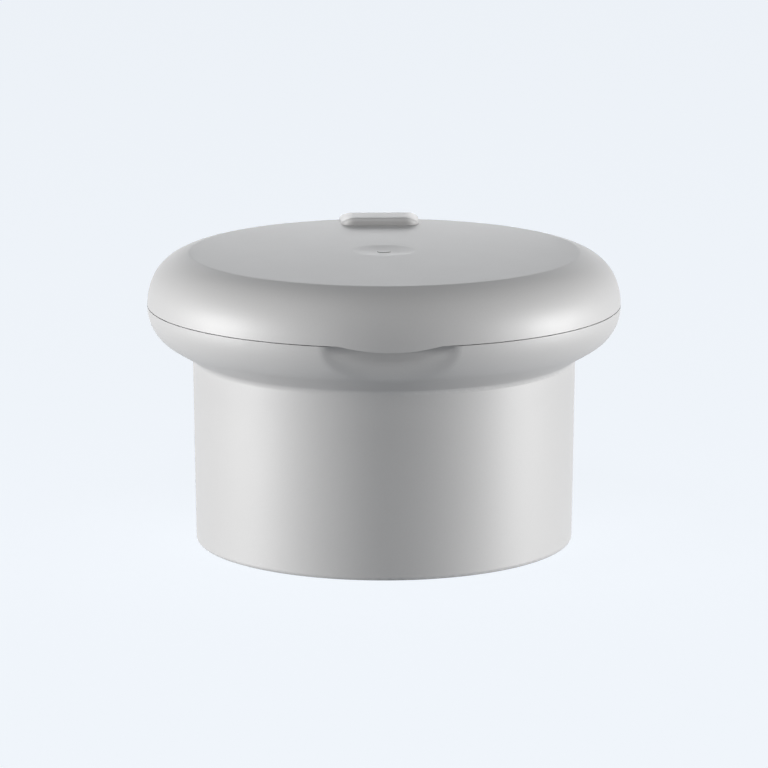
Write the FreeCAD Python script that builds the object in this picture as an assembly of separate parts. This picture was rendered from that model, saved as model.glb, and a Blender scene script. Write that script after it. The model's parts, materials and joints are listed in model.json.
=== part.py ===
import FreeCAD, Part

import math
import os

# Flip top cap with a mushroom head, in millimetres.
# The axis of the neck is Z, the skirt's rim is z = 0, the thumb side faces -Y and the hinge is at +Y.

# Neck and skirt
neck_bore_radius = 13.97        # wall that the neck's thread roots against
neck_bore_length = 14.60        # from the rim to where the bore steps in
neck_lead_in = 0.30             # chamfer at the mouth of the bore
neck_shoulder_step = 0.45
neck_land_length = 1.25         # from the step to the deck
skirt_wall = 1.41               # where the skirt meets the flange
skirt_draft = 0.18              # how much the skirt narrows towards its rim
skirt_edge_radius = 0.30        # rounding of the rim's outer edge

# Flange and parting plane
head_overhang = 3.62            # widest circle of the head, beyond the skirt
widest_rise = 1.70              # widest circle of the head, above the deck
parting_rise = 0.07             # parting plane, above the widest circle
parting_gap = 0.06              # between the flange's rim and the lid's rim
flange_bulge_radius = 3.40      # section of the flange's outside
flange_underside_angle = 31.0   # degrees from level, where the flange meets the skirt
flange_fillet = 0.60

# Flat at the back that carries the hinge
hinge_flat_width = 11.74
hinge_flat_corner = 6.00        # plan radius that runs the flat into the round head

# Deck, collar and nozzle
deck_thickness = 1.20
collar_height = 1.10            # stands above the parting plane, inside the lid
collar_thickness = 0.80
collar_clearance = 0.25
collar_lead_in = 0.25
snap_height = 0.60              # bead on the collar's front, above the parting plane
snap_section = 0.30
snap_bite = 0.12                # how far the bead stands out, and how deep its groove in the lid is
snap_spread = 56.0              # degrees round the axis
moat_wall = 0.33                # between the bore and the moat, in plan
moat_margin = 0.35              # between the moat and the collar, in plan
moat_depth = 0.90
orifice_radius = 2.60
orifice_lead_in = 0.40
nozzle_headroom = 1.26          # between the nozzle's tip and the lid's ceiling
nozzle_tip_wall = 1.10
nozzle_foot_wall = 1.80
nozzle_foot_fillet = 0.50

# Seals under the deck
neck_plug_inset = 3.37          # ring that seals inside the neck, from the bore's wall
neck_plug_thickness = 0.90
neck_plug_length = 1.50
neck_plug_taper = 0.25
land_bead_inset = 1.67          # bead that presses on the end of the neck, from the bore's wall
land_bead_section = 0.30

# Thumb recess in the flange
recess_depth = 1.25             # behind the head's widest circle
recess_plan_radius = 24.0
recess_section_radius = 5.50
recess_blend_radius = 1.70      # rounding between the recess and the flange

# Lid
lid_wall = 1.20
shoulder_width = 3.25           # in plan, from the widest circle to where the top begins
crest_rise = 4.26               # crest above the widest circle
crest_angle = 12.0              # slope of the shoulder just outside the crest, in degrees
crest_edge_radius = 0.95
shoulder_fullness = 0.93        # weight of the shoulder's conic section
top_crown_radius = 2000.0       # the top is very nearly flat
gate_recess_radius = 2.50
gate_recess_depth = 0.12
gate_mark_radius = 0.55
gate_mark_height = 0.05
lip_half_width = 4.00           # front lip, which dips below the lid's rim
lip_drop = 0.45
lip_thickness = 0.40

# Plug and ring inside the lid
plug_clearance = 0.20           # round the plug, in the orifice
plug_reach = 1.60               # how far the plug enters the nozzle
plug_wall = 0.80
plug_taper = 0.15
nozzle_ring_clearance = 0.50    # round the nozzle's foot
nozzle_ring_wall = 0.70
nozzle_ring_stand_off = 1.00    # above the deck

# Lug at the back of the lid
lug_width = 6.60
lug_side_run = 1.25             # how far each side rounds in, up to the flat top
lug_rise = 0.66                 # above the crest of the lid
lug_length = 5.50
lug_back_radius = 2.90
lug_edge_radius = 0.30
lug_corner_radius = 1.30        # front corners, seen from above

# Living hinge
web_thickness = 0.35
web_margin = 0.27               # from each end of the flat
web_bow = 0.35                  # how far the web stands off the flat, on its inner side
web_half_height = 1.05          # from the parting plane to where the web bends away
web_pad_height = 0.55           # root of the web on each part
strap_window_width = 0.90
strap_centre_width = 5.60

skirt_top_radius = neck_bore_radius + skirt_wall
skirt_rim_radius = skirt_top_radius - skirt_draft
head_radius = skirt_top_radius + head_overhang
neck_land_radius = neck_bore_radius - neck_shoulder_step
deck_underside_height = neck_bore_length + neck_shoulder_step + neck_land_length
deck_top_height = deck_underside_height + deck_thickness
widest_height = deck_top_height + widest_rise
parting_height = widest_height + parting_rise
lid_rim_height = parting_height + parting_gap
crest_height = widest_height + crest_rise
lid_root_height = crest_height - lid_wall / 2     # inside the lid's wall, where plug and ring join it
nozzle_top_height = crest_height - lid_wall - nozzle_headroom
nozzle_tip_radius = orifice_radius + nozzle_tip_wall
nozzle_foot_radius = orifice_radius + nozzle_foot_wall
collar_inset = lid_wall + collar_clearance
cavity_inset = collar_inset + collar_thickness

corner_x = hinge_flat_width / 2
corner_y = math.sqrt((head_radius - hinge_flat_corner) ** 2 - corner_x ** 2)
hinge_flat_depth = corner_y + hinge_flat_corner   # distance of the flat from the axis

crest_radius = head_radius - shoulder_width
crest_edge_x = crest_radius - crest_edge_radius * math.sin(math.radians(crest_angle))
crest_edge_z = crest_height - crest_edge_radius * math.cos(math.radians(crest_angle))
crown_z = crest_edge_z - math.sqrt((top_crown_radius - crest_edge_radius) ** 2 - crest_edge_x ** 2)
lid_top_height = crown_z + top_crown_radius

UP = FreeCAD.Vector(0, 0, 1)
BACK = FreeCAD.Vector(0, 1, 0)
RIGHT = FreeCAD.Vector(1, 0, 0)


def at(x, y, z):
    return FreeCAD.Vector(x, y, z)


def line(a, b):
    return Part.makeLine(a, b)


def arc(a, middle, b):
    return Part.Arc(a, middle, b).toShape()


def polar(centre, radius, degrees):
    """Point of a section in the XZ plane, at an angle from level."""
    a = math.radians(degrees)
    return at(centre.x + radius * math.cos(a), 0, centre.z + radius * math.sin(a))


def arc_about(centre, radius, start, end):
    """Arc of a section in the XZ plane, between two angles in degrees."""
    return arc(*(polar(centre, radius, angle) for angle in (start, (start + end) / 2, end)))


def turned(edges):
    """Solid of revolution about Z from a closed section in the XZ plane."""
    return Part.Face(Part.Wire(edges)).revolve(at(0, 0, 0), UP, 360)


def polygon(*points):
    return [line(a, b) for a, b in zip(points, points[1:] + points[:1])]


def turned_polygon(*points):
    return turned(polygon(*(at(r, 0, z) for r, z in points)))


def ring(inner, outer, low, high):
    return turned_polygon((inner, low), (outer, low), (outer, high), (inner, high))


def bow_radius(half_width, rise):
    """Radius of an arc that rises by rise in the middle of its chord."""
    return (half_width ** 2 + rise ** 2) / (2 * rise)


def disc(radius, low, high):
    return Part.makeCylinder(radius, high - low, at(0, 0, low))


def head_plan(inset, low, high):
    """Prism of the head's plan: a circle with a rounded flat at the hinge, drawn in by inset."""
    radius = head_radius - inset
    corner = hinge_flat_corner - inset
    turn = math.atan2(corner_y, corner_x)

    def corner_arc(side):
        def spot(angle):
            x = corner_x + corner * math.cos(angle)
            return at(side * x, corner_y + corner * math.sin(angle), low)
        return spot(turn), spot((turn + math.pi / 2) / 2), spot(math.pi / 2)

    right = corner_arc(1)
    left = corner_arc(-1)
    outline = Part.Wire([
        arc(left[0], at(0, -radius, low), right[0]),
        arc(*right),
        line(right[2], left[2]),
        arc(left[2], left[1], left[0]),
    ])
    return Part.Face(outline).extrude(UP * (high - low))


# Closure body

def body_outside(top):
    """Skirt, fillet, flange underside and bulge, then straight up to top, as one turned section."""
    bulge = at(head_radius - flange_bulge_radius, 0, widest_height)
    slope = math.radians(flange_underside_angle)
    under = polar(bulge, flange_bulge_radius, flange_underside_angle - 90)
    corner = at(skirt_top_radius, 0, under.z - (under.x - skirt_top_radius) * math.tan(slope))
    reach = flange_fillet * math.tan(math.radians(90 - flange_underside_angle) / 2)
    fillet_low = at(corner.x, 0, corner.z - reach)
    fillet_high = at(corner.x + reach * math.cos(slope), 0, corner.z + reach * math.sin(slope))
    fillet = at(corner.x + flange_fillet, 0, fillet_low.z)
    fillet_middle = polar(fillet, flange_fillet, 180 - (90 - flange_underside_angle) / 2)
    rim = at(skirt_rim_radius - skirt_edge_radius, 0, skirt_edge_radius)
    return turned([
        line(at(0, 0, 0), at(rim.x, 0, 0)),
        arc_about(rim, skirt_edge_radius, -90, 0),
        line(at(skirt_rim_radius, 0, rim.z), fillet_low),
        arc(fillet_low, fillet_middle, fillet_high),
        line(fillet_high, under),
        arc_about(bulge, flange_bulge_radius, flange_underside_angle - 90, 0),
        line(at(head_radius, 0, widest_height), at(head_radius, 0, top)),
        line(at(head_radius, 0, top), at(0, 0, top)),
        line(at(0, 0, top), at(0, 0, 0)),
    ])


def neck_bore():
    return turned_polygon(
        (0, 0),
        (neck_bore_radius + neck_lead_in, 0),
        (neck_bore_radius, neck_lead_in),
        (neck_bore_radius, neck_bore_length),
        (neck_land_radius, neck_bore_length + neck_shoulder_step),
        (neck_land_radius, deck_underside_height),
        (0, deck_underside_height),
    )


def neck_plug():
    outer = neck_bore_radius - neck_plug_inset
    inner = outer - neck_plug_thickness
    low = deck_underside_height - neck_plug_length
    return turned_polygon(
        (inner, deck_underside_height),
        (inner, low),
        (outer - neck_plug_taper, low),
        (outer, deck_underside_height),
    )


def land_bead():
    radius = neck_bore_radius - land_bead_inset
    return Part.makeTorus(radius, land_bead_section, at(0, 0, deck_underside_height))


def collar():
    top = parting_height + collar_height
    outside = head_plan(collar_inset, deck_top_height, top)
    rim = [edge for edge in outside.Edges if edge.BoundBox.ZMin > parting_height]
    outside = outside.makeChamfer(collar_lead_in, rim)
    return outside.cut(head_plan(cavity_inset, deck_top_height, top))


def front_bead(outer_radius):
    """Half-round bead across the front, whose crown reaches outer_radius."""
    middle = at(0, 0, parting_height + snap_height)
    bead = Part.makeTorus(outer_radius - snap_section, snap_section, middle, UP, -180, 180, snap_spread)
    bead.rotate(middle, UP, -90 - snap_spread / 2)
    return bead


def nozzle():
    """Tapered spout on the deck, with a fillet round its foot."""
    reach = nozzle_foot_radius + nozzle_foot_fillet
    return turned([
        line(at(0, 0, deck_underside_height), at(reach, 0, deck_underside_height)),
        line(at(reach, 0, deck_underside_height), at(reach, 0, deck_top_height)),
        arc_about(at(reach, 0, deck_top_height + nozzle_foot_fillet), nozzle_foot_fillet, -90, -180),
        line(at(nozzle_foot_radius, 0, deck_top_height + nozzle_foot_fillet),
             at(nozzle_tip_radius, 0, nozzle_top_height)),
        line(at(nozzle_tip_radius, 0, nozzle_top_height), at(0, 0, nozzle_top_height)),
        line(at(0, 0, nozzle_top_height), at(0, 0, deck_underside_height)),
    ])


def orifice():
    mouth = orifice_radius + orifice_lead_in
    return turned_polygon(
        (0, deck_underside_height),
        (mouth, deck_underside_height),
        (orifice_radius, deck_underside_height + orifice_lead_in),
        (orifice_radius, nozzle_top_height - orifice_lead_in),
        (mouth, nozzle_top_height),
        (0, nozzle_top_height),
    )


def deck_moat():
    """Groove in the deck that keeps the wall even where skirt, deck and flange meet."""
    floor = deck_top_height - moat_depth
    outline = head_plan(cavity_inset + moat_margin, floor, deck_top_height)
    return outline.cut(disc(neck_bore_radius + moat_wall, floor, deck_top_height))


def thumb_recess(top):
    """Barrel that scoops the front of the flange, widest at the parting plane and straight above it."""
    plan = recess_plan_radius
    section = recess_section_radius
    barrel = at(plan - section, 0, parting_height)
    scoop = turned([
        line(at(0, 0, barrel.z - section), at(barrel.x, 0, barrel.z - section)),
        arc_about(barrel, section, -90, 0),
        line(at(plan, 0, barrel.z), at(plan, 0, top)),
        line(at(plan, 0, top), at(0, 0, top)),
        line(at(0, 0, top), at(0, 0, barrel.z - section)),
    ])
    scoop.translate(BACK * (recess_depth - head_radius - plan))
    return scoop


def scooped_flange():
    """Outside of the body with its thumb recess, built over-tall so that the rounding runs out clear."""
    top = parting_height + recess_section_radius
    blank = body_outside(top).common(head_plan(0, 0, top)).cut(thumb_recess(top))
    front = [edge for edge in blank.Edges if edge.BoundBox.YMax < -skirt_top_radius]
    rim = [edge for edge in front if neck_bore_length < edge.BoundBox.ZMin < edge.BoundBox.ZMax]
    return blank.makeFillet(recess_blend_radius, rim).cut(disc(2 * head_radius, parting_height, top))


def closure_body():
    shell = scooped_flange().cut(neck_bore())
    shell = shell.cut(head_plan(cavity_inset, deck_top_height, parting_height))
    shell = shell.cut(deck_moat())
    snap = front_bead(head_radius - collar_inset + snap_bite)
    shell = shell.fuse([collar(), snap, nozzle(), neck_plug(), land_bead()])
    return shell.cut(orifice()).removeSplitter()


# Lid

def shoulder(inset):
    """Conic from the widest circle up to the crest, drawn in by inset, with its two ends."""
    slope = math.radians(crest_angle)
    wide = at(head_radius - inset, 0, widest_height)
    crest = at(crest_radius - inset * math.sin(slope), 0, crest_height - inset * math.cos(slope))
    knee = at(wide.x, 0, crest.z - (wide.x - crest.x) * math.tan(slope))
    curve = Part.BezierCurve()
    curve.setPoles([wide, knee, crest])
    curve.setWeight(2, shoulder_fullness)
    return wide, curve.toShape(), crest


def lid_outside():
    """Widest circle, shoulder, rounded crest and slightly crowned top, as one turned section."""
    wide, side, crest = shoulder(0)
    crest_edge = at(crest_edge_x, 0, crest_edge_z)
    crown = at(0, 0, crown_z)
    crown_start = math.degrees(math.atan2(crest_edge_z - crown_z, crest_edge_x))
    low = lid_rim_height - lip_drop
    return turned([
        line(at(0, 0, low), at(wide.x, 0, low)),
        line(at(wide.x, 0, low), wide),
        side,
        arc_about(crest_edge, crest_edge_radius, 90 - crest_angle, crown_start),
        arc_about(crown, top_crown_radius, crown_start, 90),
        line(at(0, 0, lid_top_height), at(0, 0, low)),
    ])


def lid_cavity():
    wide, side, crest = shoulder(lid_wall)
    ceiling = at(0, 0, crest.z)
    low = lid_rim_height - lip_drop
    hollow = turned([
        line(at(0, 0, low), at(wide.x, 0, low)),
        line(at(wide.x, 0, low), wide),
        side,
        line(crest, ceiling),
        line(ceiling, at(0, 0, low)),
    ])
    return hollow.common(head_plan(lid_wall, low, crest_height))


def below_rim():
    """What comes off under the lid's rim: all of it but the lip, which hangs down in a shallow arc."""
    low = lid_rim_height - lip_drop
    bow = bow_radius(lip_half_width, lip_drop)
    smile = Part.makeCylinder(bow, head_radius, at(0, -head_radius - lip_thickness, low + bow), BACK)
    lip = smile.cut(disc(head_radius - lip_thickness, low, lid_rim_height))
    return disc(head_radius + lid_wall, low, lid_rim_height).cut(lip)


def lug():
    """Block at the back of the lid, over the hinge, rounded at its sides, back and front corners."""
    top = crest_height + lug_rise
    half = lug_width / 2
    half_top = half - lug_side_run
    front = hinge_flat_depth - lug_length
    side = (lug_side_run ** 2 + lug_rise ** 2) / (2 * lug_rise)
    turn = math.degrees(math.asin(lug_side_run / side))
    right = at(half_top, 0, top - side)
    left = at(-half_top, 0, top - side)
    section = Part.Face(Part.Wire([
        line(at(-half, 0, lid_rim_height), at(half, 0, lid_rim_height)),
        line(at(half, 0, lid_rim_height), polar(right, side, 90 - turn)),
        arc_about(right, side, 90 - turn, 90),
        line(polar(right, side, 90), polar(left, side, 90)),
        arc_about(left, side, 90, 90 + turn),
        line(polar(left, side, 90 + turn), at(-half, 0, lid_rim_height)),
    ]))
    block = section.extrude(BACK * lug_length)
    front_edges = [edge for edge in block.Edges if edge.BoundBox.YMax < lug_length / 2]
    uprights = [edge for edge in front_edges if edge.BoundBox.ZLength > 2 * lug_rise]
    block = block.makeFillet(lug_corner_radius, uprights)
    front_edges = [edge for edge in block.Edges if edge.BoundBox.YMax < lug_length / 2]
    tops = [edge for edge in front_edges if edge.BoundBox.ZMin > crest_height - lug_rise]
    block = block.makeFillet(lug_edge_radius, tops)
    block.translate(BACK * front)
    bend = at(-half, hinge_flat_depth - lug_back_radius, top - lug_back_radius)
    corner = Part.makeBox(lug_width, lug_back_radius, lug_back_radius, bend)
    return block.cut(corner.cut(Part.makeCylinder(lug_back_radius, lug_width, bend, RIGHT)))


def gate_recess():
    """Shallow dish on the top of the lid, with a small raised mark where the moulding was filled."""
    floor = lid_top_height - gate_recess_depth
    sphere = bow_radius(gate_recess_radius, gate_recess_depth)
    dish = Part.makeSphere(sphere, at(0, 0, floor + sphere))
    return dish.cut(disc(gate_mark_radius, floor - gate_mark_height, floor + gate_mark_height))


def nozzle_plug():
    tip = orifice_radius - plug_clearance - plug_taper
    foot = orifice_radius - plug_clearance
    low = nozzle_top_height - plug_reach
    outside = turned_polygon(
        (0, low),
        (tip, low),
        (foot, nozzle_top_height),
        (foot, lid_root_height),
        (0, lid_root_height),
    )
    return outside.cut(disc(tip - plug_wall, low, lid_root_height - lid_wall))


def nozzle_ring():
    inner = nozzle_foot_radius + nozzle_ring_clearance
    low = deck_top_height + nozzle_ring_stand_off
    return ring(inner, inner + nozzle_ring_wall, low, lid_root_height)


def lid():
    outside = lid_outside().common(head_plan(0, lid_rim_height - lip_drop, lid_top_height))
    shell = outside.fuse(lug())
    shell = shell.cut(lid_cavity())
    shell = shell.cut(below_rim())
    shell = shell.cut([gate_recess(), front_bead(head_radius - lid_wall + snap_bite)])
    return shell.fuse([nozzle_plug(), nozzle_ring()]).removeSplitter()


# Living hinge

def living_hinge():
    """Bowed web with a pad on each part, cut into a centre strap and two side straps."""
    middle = (parting_height + lid_rim_height) / 2
    half = web_half_height
    pad = half + web_pad_height
    outer = web_bow + web_thickness
    width = hinge_flat_width - 2 * web_margin

    def spot(depth, rise):
        return at(-width / 2, hinge_flat_depth + depth, middle + rise)

    section = Part.Wire([
        line(spot(0, -pad), spot(0, -half)),
        arc(spot(0, -half), spot(web_bow, 0), spot(0, half)),
        line(spot(0, half), spot(0, pad)),
        line(spot(0, pad), spot(web_thickness, pad)),
        line(spot(web_thickness, pad), spot(web_thickness, half)),
        arc(spot(web_thickness, half), spot(outer, 0), spot(web_thickness, -half)),
        line(spot(web_thickness, -half), spot(web_thickness, -pad)),
        line(spot(web_thickness, -pad), spot(0, -pad)),
    ])
    web = Part.Face(section).extrude(RIGHT * width)
    for start in (strap_centre_width / 2, -strap_centre_width / 2 - strap_window_width):
        corner = at(start, hinge_flat_depth, middle - half)
        web = web.cut(Part.makeBox(strap_window_width, outer, 2 * half, corner))
    return web


os.makedirs("parts", exist_ok=True)
for name, shape in (("closure_body", closure_body()), ("lid", lid()), ("living_hinge", living_hinge())):
    shape.exportStep("parts/" + name + ".step")
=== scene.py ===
"""Looks of the flip top cap: thread, bending hinge web, plastic, floor, light and camera."""

import json
import math

import bpy
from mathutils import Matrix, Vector

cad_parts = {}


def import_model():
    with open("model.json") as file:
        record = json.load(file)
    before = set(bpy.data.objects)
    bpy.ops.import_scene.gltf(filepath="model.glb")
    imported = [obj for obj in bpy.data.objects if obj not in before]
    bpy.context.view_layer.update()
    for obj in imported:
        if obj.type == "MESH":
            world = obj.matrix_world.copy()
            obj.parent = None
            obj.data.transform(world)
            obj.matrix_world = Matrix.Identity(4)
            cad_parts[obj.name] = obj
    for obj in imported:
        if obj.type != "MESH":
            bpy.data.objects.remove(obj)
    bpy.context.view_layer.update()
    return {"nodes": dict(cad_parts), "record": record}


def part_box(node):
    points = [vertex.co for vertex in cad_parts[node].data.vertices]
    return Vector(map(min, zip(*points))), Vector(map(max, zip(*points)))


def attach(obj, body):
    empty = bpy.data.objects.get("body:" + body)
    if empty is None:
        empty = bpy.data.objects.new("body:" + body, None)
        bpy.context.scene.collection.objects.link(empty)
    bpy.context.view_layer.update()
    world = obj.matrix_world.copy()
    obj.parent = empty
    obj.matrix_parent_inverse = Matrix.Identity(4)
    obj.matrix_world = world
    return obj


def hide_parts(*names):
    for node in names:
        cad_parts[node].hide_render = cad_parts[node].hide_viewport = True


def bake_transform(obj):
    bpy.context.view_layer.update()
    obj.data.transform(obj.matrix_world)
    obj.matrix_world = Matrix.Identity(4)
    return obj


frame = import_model()

MM = 0.001
base_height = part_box("closure_body")[0].z
top_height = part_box("lid")[1].z
hinge_low, hinge_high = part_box("living_hinge")
bore = next(m for m in frame["record"]["mounts"] if m["name"] == "neck_bore")

# Thread in the neck bore
bore_radius = bore["dims"]["r_mm"] * MM
thread_pitch = 4.23 * MM
thread_turns = 1.5
thread_steps = 144               # sections in one turn
thread_rise = 0.95 * MM
thread_root = 1.70 * MM          # width of the ridge where it leaves the wall
thread_crest = 0.60 * MM
thread_start = 2.60 * MM         # middle of the ridge, above the rim
thread_run_out = math.radians(30)
thread_tip = 0.02                # radians ahead of each end, so that the end section isn't quite flat
thread_sink = 0.05 * MM          # so that the ridge has no gap to the wall
corner_rise = 0.8                # the crest's bevel starts at this share of the rise,
corner_width = 1.25              # at this share of half the crest's width,
crest_flat = 0.7                 # and leaves this share of it flat

# Hinge web
web_thickness = 0.35 * MM
web_pad_height = 0.55 * MM
web_half_height = (hinge_high.z - hinge_low.z) / 2
bend_half = web_half_height - web_pad_height
web_steps = 32                   # along the part that bends
strap_window = 0.90 * MM
middle_strap = 5.60 * MM
sharp_edge = math.radians(35)

# Plastic: texture scales are in cycles per metre, and the shares are about the colour or roughness itself
plastic_colour = (0.393, 0.387, 0.382)
plastic_roughness = 0.55
plastic_specular = 0.9
plastic_ior = 1.49
flow_scale, flow_share = 90.0, 0.025
flake_scale, flake_share = 9000.0, 0.03
mark_scale, mark_share = 420.0, 0.01
grain_scale, grain_depth, grain_strength = 5200.0, 0.02 * MM, 0.12

# Stage
backdrop = (0.864, 0.905, 0.956)
floor_reach = 1.6                # from the middle to each edge

# Panels: azimuth and elevation in degrees, distance, width and height in metres, radiance, object only.
# Azimuth 0 is at the camera and 90 to the right. Those that are low over the floor or close to the object
# light the object only, so that they leave no patch on the floor.
PANELS = (
    ("left_strip", -84, 2.5, 0.36, 0.07, 0.05, 98.0, True),
    ("left_soft", -74, 2.5, 0.36, 0.07, 0.05, 48.0, True),
    ("right_strip", 83, 2.5, 0.36, 0.07, 0.05, 142.0, True),
    ("left_high", -60, 58, 0.36, 0.12, 0.09, 3.2, False),
    ("right_high", 60, 58, 0.36, 0.12, 0.09, 1.9, False),
    ("overhead", 0, 88, 0.36, 0.16, 0.16, 1.0, False),
    ("front_high", 0, 45, 0.36, 0.14, 0.10, 2.7, False),
    ("front_near", 0, 16, 0.14, 0.06, 0.02, 2.0, True),
    ("back_low", 180, 13, 0.36, 0.26, 0.05, 4.6, True),
    ("back_near", 180, 24, 0.045, 0.036, 0.008, 2.4, True),
)

# Camera: a little to the left of the cap's plane of symmetry
camera_turn = math.radians(1.5)
camera_distance = 372.8 * MM
camera_height = 88.96 * MM
camera_target = Vector((0, 0, 12.6)) * MM
camera_lens = 221.25
sensor_width = 36


def mesh_object(name, verts, faces):
    mesh = bpy.data.meshes.new(name)
    mesh.from_pydata(verts, [], faces)
    mesh.validate()
    obj = bpy.data.objects.new(name, mesh)
    bpy.context.scene.collection.objects.link(obj)
    return obj


def smooth(obj):
    for face in obj.data.polygons:
        face.use_smooth = True


def swept(name, sections):
    """Closed tube through equal-length loops of points, capped at both ends."""
    count = len(sections[0])
    verts = [p for loop in sections for p in loop]
    faces = []
    for i in range(len(sections) - 1):
        for j in range(count):
            k = (j + 1) % count
            faces.append((i * count + j, i * count + k, (i + 1) * count + k, (i + 1) * count + j))
    faces.append(tuple(reversed(range(count))))
    faces.append(tuple(range((len(sections) - 1) * count, len(sections) * count)))
    obj = mesh_object(name, verts, faces)
    smooth(obj)
    return obj


def thread():
    """Helical ridge with a bevelled trapezoid section that runs out into the wall at both ends."""
    wall = bore_radius + thread_sink
    crest = thread_crest / 2
    root = thread_root / 2
    whole = 2 * math.pi * thread_turns
    loops = []
    for i in range(int(thread_turns * thread_steps) + 1):
        angle = 2 * math.pi * i / thread_steps
        to_end = min(angle, whole - angle)
        grow = min(1.0, (to_end + thread_tip) / thread_run_out)
        rise = thread_rise * math.sin(grow * math.pi / 2)
        middle = thread_start + thread_pitch * i / thread_steps
        upper = [(bore_radius - rise, crest * crest_flat),
                 (bore_radius - rise * corner_rise, crest * corner_width),
                 (bore_radius, root), (wall, root)]
        section = [(r, -z) for r, z in reversed(upper)] + upper
        loops.append([(r * math.cos(angle), r * math.sin(angle), middle + z) for r, z in section])
    return swept("thread", loops)


def hinge_web():
    """Three straps between two pads, following the bow of the web."""
    flat = hinge_low.y
    bow = hinge_high.y - flat - web_thickness
    middle = (hinge_low.z + hinge_high.z) / 2
    pad_middle = web_half_height - web_pad_height / 2
    bend = [bend_half * (2 * i / web_steps - 1) for i in range(web_steps + 1)]
    levels = [-web_half_height, -pad_middle] + bend + [pad_middle, web_half_height]
    edge = middle_strap / 2
    width = hinge_high.x
    cuts = [-width, -edge - strap_window, -edge, edge, edge + strap_window, width]
    verts, faces, index = [], [], {}

    def vert(i, j, side):
        """Index of the point at cut i and level j, on the flat's side (0) or outside (1)."""
        key = (i, j, side)
        if key not in index:
            z = levels[j]
            depth = bow * max(0.0, 1 - (z / bend_half) ** 2)
            index[key] = len(verts)
            verts.append((cuts[i], flat + depth + (web_thickness if side else 0), middle + z))
        return index[key]

    def solid(i, j):
        """Whether the web fills the cell above cut i and level j: two windows part the straps."""
        if i < 0 or j < 0 or i >= len(cuts) - 1 or j >= len(levels) - 1:
            return False
        in_window = i in (1, 3)
        open_height = abs((levels[j] + levels[j + 1]) / 2) < bend_half
        return not (in_window and open_height)

    for i in range(len(cuts) - 1):
        for j in range(len(levels) - 1):
            if not solid(i, j):
                continue
            quad = [(i, j), (i + 1, j), (i + 1, j + 1), (i, j + 1)]
            faces.append([vert(a, b, 1) for a, b in reversed(quad)])
            faces.append([vert(a, b, 0) for a, b in quad])
            sides = zip(quad, quad[1:] + quad[:1], ((0, -1), (1, 0), (0, 1), (-1, 0)))
            for a, b, (di, dj) in sides:
                if not solid(i + di, j + dj):
                    faces.append([vert(*b, 0), vert(*a, 0), vert(*a, 1), vert(*b, 1)])
    obj = mesh_object("hinge_web", verts, faces)
    smooth(obj)
    obj.data.set_sharp_from_angle(angle=sharp_edge)
    return obj


# Plastic

def node(tree, kind, **inputs):
    """New node with its inputs set: an underscore stands for a space in an input's name."""
    made = tree.nodes.new(kind)
    for name, value in inputs.items():
        made.inputs[name.replace("_", " ")].default_value = value
    return made


def plastic(name):
    """Satin moulded plastic: pearl pigment that drifts with the flow, a fine grain, faint handling marks."""
    material = bpy.data.materials.new(name)
    material.use_nodes = True
    tree = material.node_tree
    links = tree.links
    shader = tree.nodes["Principled BSDF"]
    shader.inputs["Specular IOR Level"].default_value = plastic_specular
    shader.inputs["IOR"].default_value = plastic_ior
    place = tree.nodes.new("ShaderNodeTexCoord")

    def noise(**inputs):
        texture = node(tree, "ShaderNodeTexNoise", **inputs)
        links.new(place.outputs["Object"], texture.inputs["Vector"])
        return texture.outputs["Fac"]

    def spread(source, middle, share, **limits):
        """The source's range, laid over middle plus or minus share."""
        ranged = node(tree, "ShaderNodeMapRange", To_Min=middle - share, To_Max=middle + share, **limits)
        links.new(source, ranged.inputs["Value"])
        return ranged.outputs["Result"]

    flow = noise(Scale=flow_scale, Detail=3.0, Roughness=0.55)
    flakes = noise(Scale=flake_scale, Detail=1.0)
    marks = noise(Scale=mark_scale, Detail=4.0, Roughness=0.6)
    grain = noise(Scale=grain_scale, Detail=2.0, Roughness=0.5)

    both = tree.nodes.new("ShaderNodeMath")
    both.operation = "MULTIPLY"
    links.new(spread(flow, 1.0, flow_share), both.inputs[0])
    links.new(spread(flakes, 1.0, flake_share), both.inputs[1])
    tint = tree.nodes.new("ShaderNodeMix")
    tint.data_type = "RGBA"
    tint.blend_type = "MULTIPLY"
    tint.inputs["Factor"].default_value = 1.0
    tint.inputs["A"].default_value = (*plastic_colour, 1)
    links.new(both.outputs["Value"], tint.inputs["B"])
    links.new(tint.outputs["Result"], shader.inputs["Base Color"])

    satin = spread(marks, plastic_roughness, mark_share, From_Min=0.3, From_Max=0.7)
    links.new(satin, shader.inputs["Roughness"])

    bump = node(tree, "ShaderNodeBump", Strength=grain_strength, Distance=grain_depth)
    links.new(grain, bump.inputs["Height"])
    links.new(bump.outputs["Normal"], shader.inputs["Normal"])
    return material


def paint(obj, material):
    obj.data.materials.clear()
    obj.data.materials.append(material)


# Stage

def seen_directly(tree):
    """1 for rays from the camera and for what gloss and clear pieces show, 0 for light on the object."""
    rays = tree.nodes.new("ShaderNodeLightPath")
    total = rays.outputs["Is Camera Ray"]
    for kind in ("Is Glossy Ray", "Is Transmission Ray"):
        either = tree.nodes.new("ShaderNodeMath")
        either.operation = "MAXIMUM"
        tree.links.new(total, either.inputs[0])
        tree.links.new(rays.outputs[kind], either.inputs[1])
        total = either.outputs["Value"]
    return total


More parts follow.
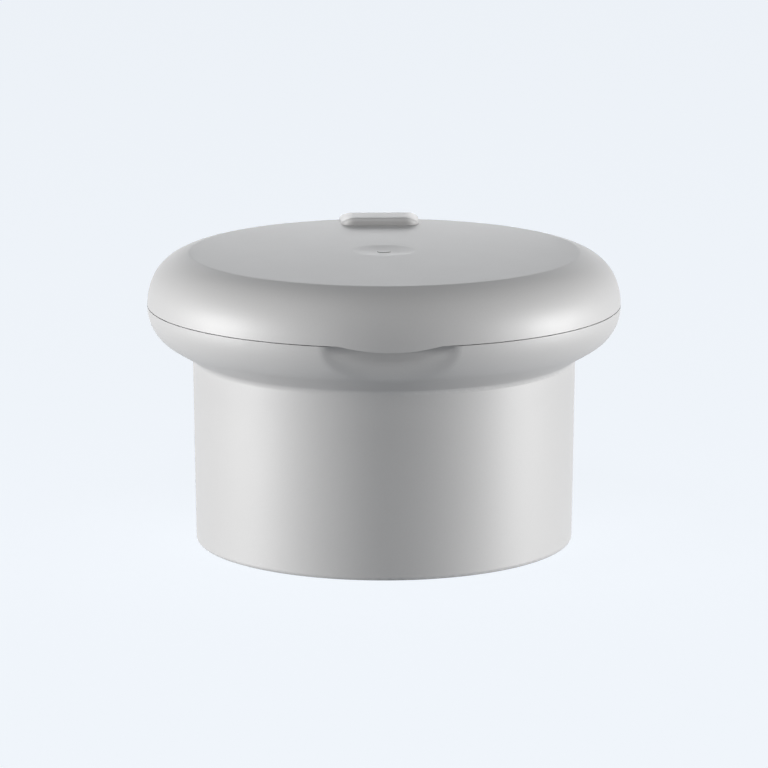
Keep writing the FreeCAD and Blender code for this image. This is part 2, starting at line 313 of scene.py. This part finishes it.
def floor(colour, glow, sheen, bounce, fill):
    """Pale floor: seen as glow plus a share of the light that falls on it, so that the shadow stays.

    Towards the object it returns a share of its light, bounce, and a low glow of its own, fill.
    """
    corners = [(x * floor_reach, y * floor_reach, 0) for x, y in ((-1, -1), (1, -1), (1, 1), (-1, 1))]
    plane = mesh_object("floor", corners, [(0, 1, 2, 3)])
    material = bpy.data.materials.new("floor")
    material.use_nodes = True
    tree = material.node_tree
    tree.nodes.remove(tree.nodes["Principled BSDF"])
    mix = tree.nodes.new("ShaderNodeMixShader")
    tree.links.new(seen_directly(tree), mix.inputs[0])
    for slot, share, strength in ((1, bounce, fill), (2, sheen, glow)):
        lit = node(tree, "ShaderNodeBsdfDiffuse", Color=(*(share * c for c in colour), 1))
        own = node(tree, "ShaderNodeEmission", Color=(*colour, 1), Strength=strength)
        both = tree.nodes.new("ShaderNodeAddShader")
        tree.links.new(lit.outputs[0], both.inputs[0])
        tree.links.new(own.outputs[0], both.inputs[1])
        tree.links.new(both.outputs[0], mix.inputs[slot])
    tree.links.new(mix.outputs[0], tree.nodes["Material Output"].inputs["Surface"])
    plane.data.materials.append(material)


def world(colour, strength):
    """Pale backdrop for what the camera and reflections see, and a dimmer fill on the object."""
    made = bpy.data.worlds.new("studio")
    bpy.context.scene.world = made
    made.use_nodes = True
    tree = made.node_tree
    fill = tree.nodes["Background"]
    fill.inputs["Color"].default_value = (*colour, 1)
    fill.inputs["Strength"].default_value = strength
    seen = node(tree, "ShaderNodeBackground", Color=(*colour, 1))
    mix = tree.nodes.new("ShaderNodeMixShader")
    tree.links.new(seen_directly(tree), mix.inputs[0])
    tree.links.new(fill.outputs[0], mix.inputs[1])
    tree.links.new(seen.outputs[0], mix.inputs[2])
    tree.links.new(mix.outputs[0], tree.nodes["World Output"].inputs[0])


def panel(name, azimuth, elevation, distance, width, height, radiance, only):
    """Soft panel that faces the object's middle. It lights one collection only if that is given."""
    centre = Vector((0, 0, (base_height + top_height) / 2))
    a, e = math.radians(azimuth), math.radians(elevation)
    away = Vector((math.sin(a) * math.cos(e), -math.cos(a) * math.cos(e), math.sin(e)))
    light = bpy.data.lights.new(name, "AREA")
    light.shape = "RECTANGLE"
    light.size = width
    light.size_y = height
    light.energy = radiance * math.pi * width * height
    obj = bpy.data.objects.new(name, light)
    obj.location = centre + away * distance
    obj.rotation_mode = "QUATERNION"
    obj.rotation_quaternion = (-away).to_track_quat("-Z", "Y")
    obj.visible_camera = False
    obj.light_linking.receiver_collection = only
    bpy.context.scene.collection.objects.link(obj)


def camera():
    data = bpy.data.cameras.new("camera")
    data.sensor_width = sensor_width
    data.lens = camera_lens
    obj = bpy.data.objects.new("camera", data)
    side, back = camera_distance * math.sin(camera_turn), camera_distance * math.cos(camera_turn)
    obj.location = (-side, -back, camera_height)
    obj.rotation_mode = "QUATERNION"
    obj.rotation_quaternion = (camera_target - obj.location).to_track_quat("-Z", "Y")
    bpy.context.scene.collection.objects.link(obj)
    bpy.context.scene.camera = obj


silver = plastic("silver_plastic")
shells = [frame["nodes"][name] for name in ("closure_body", "lid")]
for shell in shells:
    paint(shell, silver)

ridge = thread()
paint(ridge, silver)
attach(ridge, "base")

web = hinge_web()
paint(web, silver)
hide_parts("living_hinge")
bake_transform(web)

floor(backdrop, glow=0.962, sheen=0.16, bounce=0.4, fill=0.33)
world(backdrop, strength=0.04)
pieces = bpy.data.collections.new("pieces")
for piece in (*shells, ridge, web):
    pieces.objects.link(piece)
for *values, object_only in PANELS:
    panel(*values, pieces if object_only else None)
camera()

bpy.context.scene.view_settings.view_transform = "Standard"
